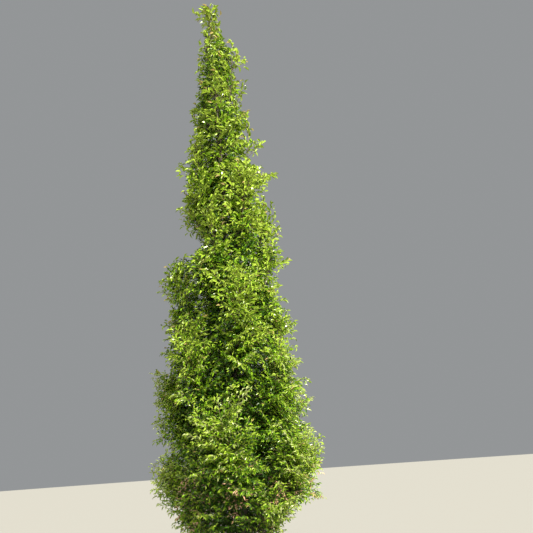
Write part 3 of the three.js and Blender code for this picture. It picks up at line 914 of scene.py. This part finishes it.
# Each bark: its pale and its dark colour, how fine its streaks are and how deep its relief
BARKS = {
    "trunk_bark": ((0.22, 0.2, 0.165), (0.08, 0.07, 0.055), 30, 0.003),
    "limb_bark": ((0.23, 0.2, 0.155), (0.09, 0.072, 0.054), 60, 0.0015),
    "twig_bark": ((0.33, 0.22, 0.15), (0.16, 0.1, 0.065), 120, 0.0004),
}
# A colour mix has its two colours and its result at these places among its sockets
MIX_PALE = 6
MIX_DARK = 7
MIX_RESULT = 2


# Finishes
def add(tree, kind, values=None, **settings):
    """A new shader node with its settings and with values on its own sockets."""
    node = tree.nodes.new("ShaderNode" + kind)
    for name, value in settings.items():
        setattr(node, name, value)
    for socket, value in (values or {}).items():
        node.inputs[socket].default_value = value
    return node


def bark_group():
    """Pale bark with darker upright streaks, blotches and short cross marks."""
    group = bpy.data.node_groups.new("hornbeam_bark", "ShaderNodeTree")
    for name, kind in (("Vector", "Vector"), ("Pale", "Color"), ("Dark", "Color"), ("Streaks", "Float")):
        group.interface.new_socket(name=name, in_out="INPUT", socket_type="NodeSocket" + kind)
    for name, kind in (("Color", "Color"), ("Roughness", "Float"), ("Height", "Float")):
        group.interface.new_socket(name=name, in_out="OUTPUT", socket_type="NodeSocket" + kind)
    given = group.nodes.new("NodeGroupInput")
    result = group.nodes.new("NodeGroupOutput")
    link = group.links.new

    upright = add(group, "VectorMath", {1: STREAK_STRETCH}, operation="MULTIPLY")
    link(given.outputs["Vector"], upright.inputs[0])
    streaks = add(group, "TexNoise", STREAK_NOISE)
    link(upright.outputs[0], streaks.inputs["Vector"])
    link(given.outputs["Streaks"], streaks.inputs["Scale"])
    streak_shade = add(group, "MapRange", STREAK_SHADE)
    link(streaks.outputs["Fac"], streak_shade.inputs["Value"])

    blotches = add(group, "TexNoise", BLOTCH_NOISE)
    link(given.outputs["Vector"], blotches.inputs["Vector"])
    blotch_shade = add(group, "MapRange", BLOTCH_SHADE)
    link(blotches.outputs["Fac"], blotch_shade.inputs["Value"])

    flattened = add(group, "VectorMath", {1: MARK_STRETCH}, operation="MULTIPLY")
    link(given.outputs["Vector"], flattened.inputs[0])
    marks = add(group, "TexVoronoi", MARK_CELLS, feature="F1")
    link(flattened.outputs[0], marks.inputs["Vector"])
    mark_shade = add(group, "MapRange", MARK_SHADE)
    link(marks.outputs["Distance"], mark_shade.inputs["Value"])

    darker = add(group, "Math", operation="MAXIMUM")
    link(streak_shade.outputs[0], darker.inputs[0])
    link(blotch_shade.outputs[0], darker.inputs[1])
    darkest = add(group, "Math", operation="MAXIMUM")
    link(darker.outputs[0], darkest.inputs[0])
    link(mark_shade.outputs[0], darkest.inputs[1])

    colour = add(group, "Mix", data_type="RGBA")
    link(darkest.outputs[0], colour.inputs["Factor"])
    link(given.outputs["Pale"], colour.inputs[MIX_PALE])
    link(given.outputs["Dark"], colour.inputs[MIX_DARK])
    link(colour.outputs[MIX_RESULT], result.inputs["Color"])
    rough = add(group, "MapRange", BARK_ROUGHNESS)
    link(darkest.outputs[0], rough.inputs["Value"])
    link(rough.outputs[0], result.inputs["Roughness"])
    height = add(group, "Math", {0: 1}, operation="SUBTRACT")
    link(darkest.outputs[0], height.inputs[1])
    link(height.outputs[0], result.inputs["Height"])
    return group


def bark_finish(name, group, pale, dark, streaks, relief):
    material = bpy.data.materials.new(name)
    material.use_nodes = True
    tree = material.node_tree
    surface = tree.nodes["Principled BSDF"]
    place = add(tree, "TexCoord")
    bark = add(tree, "Group", node_tree=group)
    for socket, value in (("Pale", (*pale, 1)), ("Dark", (*dark, 1)), ("Streaks", streaks)):
        bark.inputs[socket].default_value = value
    bump = add(tree, "Bump", {"Distance": relief, "Strength": BARK_BUMP})
    tree.links.new(place.outputs["Object"], bark.inputs["Vector"])
    tree.links.new(bark.outputs["Color"], surface.inputs["Base Color"])
    tree.links.new(bark.outputs["Roughness"], surface.inputs["Roughness"])
    tree.links.new(bark.outputs["Height"], bump.inputs["Height"])
    tree.links.new(bump.outputs["Normal"], surface.inputs["Normal"])
    return material


def plain_finish(name, colour, roughness, gloss):
    material = bpy.data.materials.new(name)
    material.use_nodes = True
    surface = material.node_tree.nodes["Principled BSDF"]
    surface.inputs["Base Color"].default_value = (*colour, 1)
    surface.inputs["Roughness"].default_value = roughness
    surface.inputs["Specular IOR Level"].default_value = gloss
    return material


# How the tints are dealt out
def tint_of(leaves, chance):
    """Each leaf's tint by number: painted shade inside the crown and painted light towards its outline
    and its top, lighter towards each twig's tip and varied by chance.
    """
    count = len(leaves.length)
    sprays = leaves.spray.max() + 1
    outer = np.maximum(share_of_reach(leaves.root), np.interp(leaves.root[:, 2], CROWN_TIP, (0, 1)))
    outer = np.minimum(outer, 1)
    high = leaves.root[:, 2] / TREE_HEIGHT
    # painted shade towards the trunk, painted light towards the outline
    light = between(*LIGHT_INSIDE, high) + between(*LIGHT_OUTSIDE, high) * outer**LIGHT_POWER
    light += LIGHT_AT_TIP * leaves.tip**LIGHT_TIP_POWER
    # painted light under the crown's top
    light += LIGHT_UNDER_TOP * np.interp(leaves.root[:, 2], LIGHT_HEIGHTS, (0, 1, 1, 0))
    of_spray = chance.normal(0, LIGHT_OF_SPRAY, sprays)
    light += of_spray[leaves.spray] + chance.normal(0, LIGHT_OF_LEAF, count)
    tint = np.digitize(np.minimum(light, between(*LIGHT_MOST, high)), TINT_STEPS)
    names = list(TINTS)
    at_end = (leaves.tip > BRONZE_TIP_LEAST) & (outer > BRONZE_OUT_LEAST)
    young = chance.random(count) < between(*BRONZE_TIPS, high**BRONZE_POWER)
    tint[at_end & young] = names.index("bronze")
    dry_sprays = chance.random(sprays) < DRY_SPRAYS
    withered = dry_sprays[leaves.spray] & (chance.random(count) < DRY_LEAVES)
    tint[withered & (leaves.root[:, 2] < DRY_HEIGHT)] = names.index("dry")
    return tint


# The stage: a pale floor
FLOOR_SIDES = 96
FLOOR_RADIUS = 90
FLOOR_HEIGHT = -0.001
FLOOR_COLOUR = (0.37, 0.365, 0.35)
FLOOR_ROUGHNESS = 0.9
FLOOR_GLOSS = 0.5


def make_floor():
    shape = bmesh.new()
    bmesh.ops.create_circle(shape, cap_ends=True, segments=FLOOR_SIDES, radius=FLOOR_RADIUS)
    mesh = bpy.data.meshes.new("floor")
    shape.to_mesh(mesh)
    shape.free()
    mesh.materials.append(plain_finish("pale_floor", FLOOR_COLOUR, FLOOR_ROUGHNESS, FLOOR_GLOSS))
    floor = bpy.data.objects.new("floor", mesh)
    floor.location.z = FLOOR_HEIGHT
    bpy.context.scene.collection.objects.link(floor)
    floor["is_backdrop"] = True


# The light
WORLD_COLOUR = (0.84, 0.87, 0.89)
WORLD_STRENGTH = 0.35
# The lamps: name, strength, width in degrees, colour and the direction they shine from
LAMPS = (
    ("key", 8, 2, (1, 0.95, 0.80), (0.8, -0.62, 0.78)),
    ("fill", 1.4, 20, (1, 0.98, 0.9), (0.05, -0.9, 0.5)),
)


def make_light():
    world = bpy.data.worlds.new("studio")
    world.use_nodes = True
    world.node_tree.nodes["Background"].inputs["Color"].default_value = (*WORLD_COLOUR, 1)
    world.node_tree.nodes["Background"].inputs["Strength"].default_value = WORLD_STRENGTH
    bpy.context.scene.world = world
    for name, strength, width, colour, direction in LAMPS:
        sun = bpy.data.lights.new(name, "SUN")
        sun.energy = strength
        sun.angle = math.radians(width)
        sun.color = colour
        lamp = bpy.data.objects.new(name, sun)
        lamp.rotation_euler = Vector(direction).to_track_quat("Z", "Y").to_euler()
        bpy.context.scene.collection.objects.link(lamp)


# The camera, which looks a little to the right and up and is rolled
CAMERA_PLACE = (0, -10.461, 1.5)
CAMERA_YAW = math.radians(2.333)  # to the right
CAMERA_PITCH = math.radians(10.732)
CAMERA_ROLL = math.radians(4.023)
FRAME_PIXELS = 533
FOCAL_PIXELS = 1000
SENSOR = 36
CLIP_END = 500


def make_camera():
    data = bpy.data.cameras.new("camera")
    data.sensor_width = SENSOR
    data.lens = SENSOR * FOCAL_PIXELS / FRAME_PIXELS
    data.clip_end = CLIP_END
    camera = bpy.data.objects.new("camera", data)
    level = math.cos(CAMERA_PITCH)
    forward_x = math.sin(CAMERA_YAW) * level
    forward_y = math.cos(CAMERA_YAW) * level
    forward = Vector((forward_x, forward_y, math.sin(CAMERA_PITCH)))
    right = Vector((math.cos(CAMERA_YAW), -math.sin(CAMERA_YAW), 0))
    above = right.cross(forward)
    turned = right * math.cos(CAMERA_ROLL) - above * math.sin(CAMERA_ROLL)
    raised = right * math.sin(CAMERA_ROLL) + above * math.cos(CAMERA_ROLL)
    axes = Matrix((turned, raised, -forward)).transposed().to_4x4()
    camera.matrix_world = Matrix.Translation(CAMERA_PLACE) @ axes
    bpy.context.scene.collection.objects.link(camera)
    bpy.context.scene.camera = camera


# The pieces
def make_wood(barks):
    trunk = wood_mesh("trunk_wood", [(TRUNK_SIDES, TRUNK_RINGS, trunk_surface)])
    piece_of(trunk, "trunk_wood", barks["trunk_bark"], "bark", "trunk")
    tubes = [(LIMB_SIDES, LIMB_RINGS, limb_surface(plume.limb)) for plume in plumes]
    bough_nodes = [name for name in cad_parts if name.startswith("bough")]
    limbs = wood_mesh("limb_wood", tubes)
    piece_of(limbs, "limb_wood", barks["limb_bark"], "bough_bark", *bough_nodes)


def make_leaves(leaves, chance, nodes):
    """The leaves in pieces by tint, each with a limited number of leaves."""
    tints = tint_of(leaves, chance)
    forms = [leaf_template(LEAF_ROWS, *form) for form in LEAF_FORMS]
    inner_forms = [leaf_template(INNER_LEAF_ROWS, *form) for form in LEAF_FORMS]
    form_of = chance.integers(len(forms), size=len(tints))
    for number, (tint, (colour, roughness)) in enumerate(TINTS.items()):
        material = plain_finish(f"leaf_{tint}", colour, roughness, LEAF_GLOSS)
        members = np.flatnonzero(tints == number)
        pieces = np.array_split(members, math.ceil(len(members) / LEAVES_IN_PIECE))
        for part, chosen in enumerate(pieces):
            name = f"leaves_{tint}_{part + 1}"
            shapes = inner_forms if tint in INNER_TINTS else forms
            mesh = leaf_mesh(name, leaves.pick(chosen), shapes, form_of[chosen])
            piece_of(mesh, name, material, "foliage", *nodes)


def make_foliage(barks):
    nodes = [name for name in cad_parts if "foliage" in name]
    chance = np.random.default_rng(SEED)
    mains = grow_main_twigs(chance)
    sides = grow_side_twigs(mains, chance)
    for name, twigs, rings in (("twigs", mains, TWIG_RINGS), ("side_twigs", sides, SIDE_RINGS)):
        piece_of(twig_mesh(name, twigs, rings), name, barks["twig_bark"], "bough_bark", *nodes)
    make_leaves(all_leaves(mains, sides, chance), chance, nodes)


make_camera()
make_light()
make_floor()
bark_patterns = bark_group()
bark_finishes = {name: bark_finish(name, bark_patterns, *look) for name, look in BARKS.items()}
make_wood(bark_finishes)
make_foliage(bark_finishes)
bpy.context.scene.view_settings.view_transform = "Standard"

boxes = {"cad": cad_box, "visual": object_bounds()}
{name: [list(corner) for corner in box] for name, box in boxes.items()}
